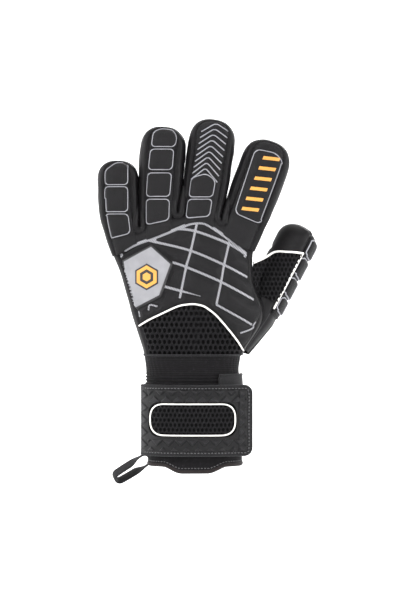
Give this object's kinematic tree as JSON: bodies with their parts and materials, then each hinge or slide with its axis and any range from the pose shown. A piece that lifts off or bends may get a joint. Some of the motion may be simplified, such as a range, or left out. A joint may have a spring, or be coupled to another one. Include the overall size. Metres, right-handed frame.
{
  "type": "goalkeeper glove",
  "caption": "Padded goalkeeper glove for a left hand, with folding fingers and thumb, an opening wrist strap and a pull loop.",
  "frame": {"origin": "centre of the cuff's mouth, at the height of the cuff's lowest edge", "axes": "+Z from the wrist to the fingertips, -Y out of the back of the hand, +Y out of the palm, +X towards the thumb"},
  "size_m": [0.1707, 0.0774, 0.2912],
  "materials": {
    "latex": "soft matte latex foam",
    "back_foam": "satin embossed latex",
    "air_mesh": "open hexagonal air mesh",
    "lining": "brushed knit",
    "knit": "fine elastic knit",
    "strap_face": "moulded strap face",
    "webbing": "woven tape",
    "white_piping": "smooth cord",
    "badge_grey": "satin",
    "emblem_orange": "gloss",
    "hook_and_loop": "hook and loop"
  },
  "bodies": {
    "hand": {"palm_latex": "latex", "little_side_gusset": "latex", "thumb_side_gusset": "latex", "thumb_collar": "latex", "web_gussets": "latex", "backhand_panel": "back_foam", "knuckle_band": "back_foam", "wrist_mesh": "air_mesh", "mesh_piping": "white_piping", "badge": "badge_grey", "badge_emblem": "emblem_orange", "hand_lining": "lining", "wrist_elastic": "knit", "cuff": "knit", "cuff_hem": "webbing", "strap_base": "strap_face", "loop_patch": "hook_and_loop"},
    "strap": {"strap_flap": "strap_face", "strap_window_mesh": "air_mesh", "strap_window_piping": "white_piping", "hook_patch": "hook_and_loop", "strap_binding": "webbing"},
    "pull_loop": {"pull_loop": "webbing"},
    "little_lower": {"little_lower_latex": "latex", "little_lower_back": "back_foam", "little_lower_lining": "lining"},
    "little_upper": {"little_upper_latex": "latex", "little_upper_back": "back_foam", "little_upper_lining": "lining"},
    "ring_lower": {"ring_lower_latex": "latex", "ring_lower_back": "back_foam", "ring_lower_lining": "lining"},
    "ring_upper": {"ring_upper_latex": "latex", "ring_upper_back": "back_foam", "ring_upper_lining": "lining"},
    "middle_lower": {"middle_lower_latex": "latex", "middle_lower_back": "back_foam", "middle_lower_lining": "lining"},
    "middle_upper": {"middle_upper_latex": "latex", "middle_upper_back": "back_foam", "middle_upper_lining": "lining"},
    "index_lower": {"index_lower_latex": "latex", "index_lower_back": "back_foam", "index_lower_lining": "lining"},
    "index_upper": {"index_upper_latex": "latex", "index_upper_back": "back_foam", "index_upper_lining": "lining"},
    "thumb_lower": {"thumb_lower_latex": "latex", "thumb_lower_back": "back_foam", "thumb_mesh": "air_mesh", "thumb_lower_lining": "lining", "thumb_piping": "white_piping"},
    "thumb_upper": {"thumb_cap": "latex", "thumb_upper_back": "back_foam", "thumb_upper_lining": "lining"}
  },
  "joints": [
    {"name": "little_knuckle", "type": "hinge", "parent": "hand", "child": "little_lower", "pos_m": [-0.05788, 0.002, 0.206], "axis": [-1, 0, 0], "range_deg": [0, 60]},
    {"name": "little_middle_fold", "type": "hinge", "parent": "little_lower", "child": "little_upper", "pos_m": [-0.05869, 0.002, 0.229], "axis": [-1, 0, 0], "range_deg": [0, 65]},
    {"name": "ring_knuckle", "type": "hinge", "parent": "hand", "child": "ring_lower", "pos_m": [-0.02573, 0.002, 0.214], "axis": [-1, 0, 0], "range_deg": [0, 60]},
    {"name": "ring_middle_fold", "type": "hinge", "parent": "ring_lower", "child": "ring_upper", "pos_m": [-0.02377, 0.002, 0.242], "axis": [-1, 0, 0], "range_deg": [0, 65]},
    {"name": "middle_knuckle", "type": "hinge", "parent": "hand", "child": "middle_lower", "pos_m": [0.00824, 0.002, 0.217], "axis": [-1, 0, 0], "range_deg": [0, 60]},
    {"name": "middle_middle_fold", "type": "hinge", "parent": "middle_lower", "child": "middle_upper", "pos_m": [0.01315, 0.002, 0.248], "axis": [-1, 0, 0], "range_deg": [0, 65]},
    {"name": "index_knuckle", "type": "hinge", "parent": "hand", "child": "index_lower", "pos_m": [0.04686, 0.002, 0.212], "axis": [-1, 0, 0], "range_deg": [0, 60]},
    {"name": "index_middle_fold", "type": "hinge", "parent": "index_lower", "child": "index_upper", "pos_m": [0.05451, 0.002, 0.237], "axis": [-1, 0, 0], "range_deg": [0, 65]},
    {"name": "thumb_base", "type": "hinge", "parent": "hand", "child": "thumb_lower", "pos_m": [0.05368, 0.01621, 0.13666], "axis": [-0.2702, -0.8794, 0.392], "range_deg": [0, 30]},
    {"name": "thumb_middle_fold", "type": "hinge", "parent": "thumb_lower", "child": "thumb_upper", "pos_m": [0.07372, 0.02685, 0.17436], "axis": [-0.2702, -0.8794, 0.392], "range_deg": [0, 55]},
    {"name": "strap_opening", "type": "hinge", "parent": "hand", "child": "strap", "pos_m": [-0.042, -0.0117, 0.0415], "axis": [0, 0, -1], "range_deg": [0, 120]},
    {"name": "loop_swing", "type": "hinge", "parent": "hand", "child": "pull_loop", "pos_m": [-0.0456, -0.002, 0.006], "axis": [0, 1, 0], "range_deg": [-50, 60]}
  ]
}
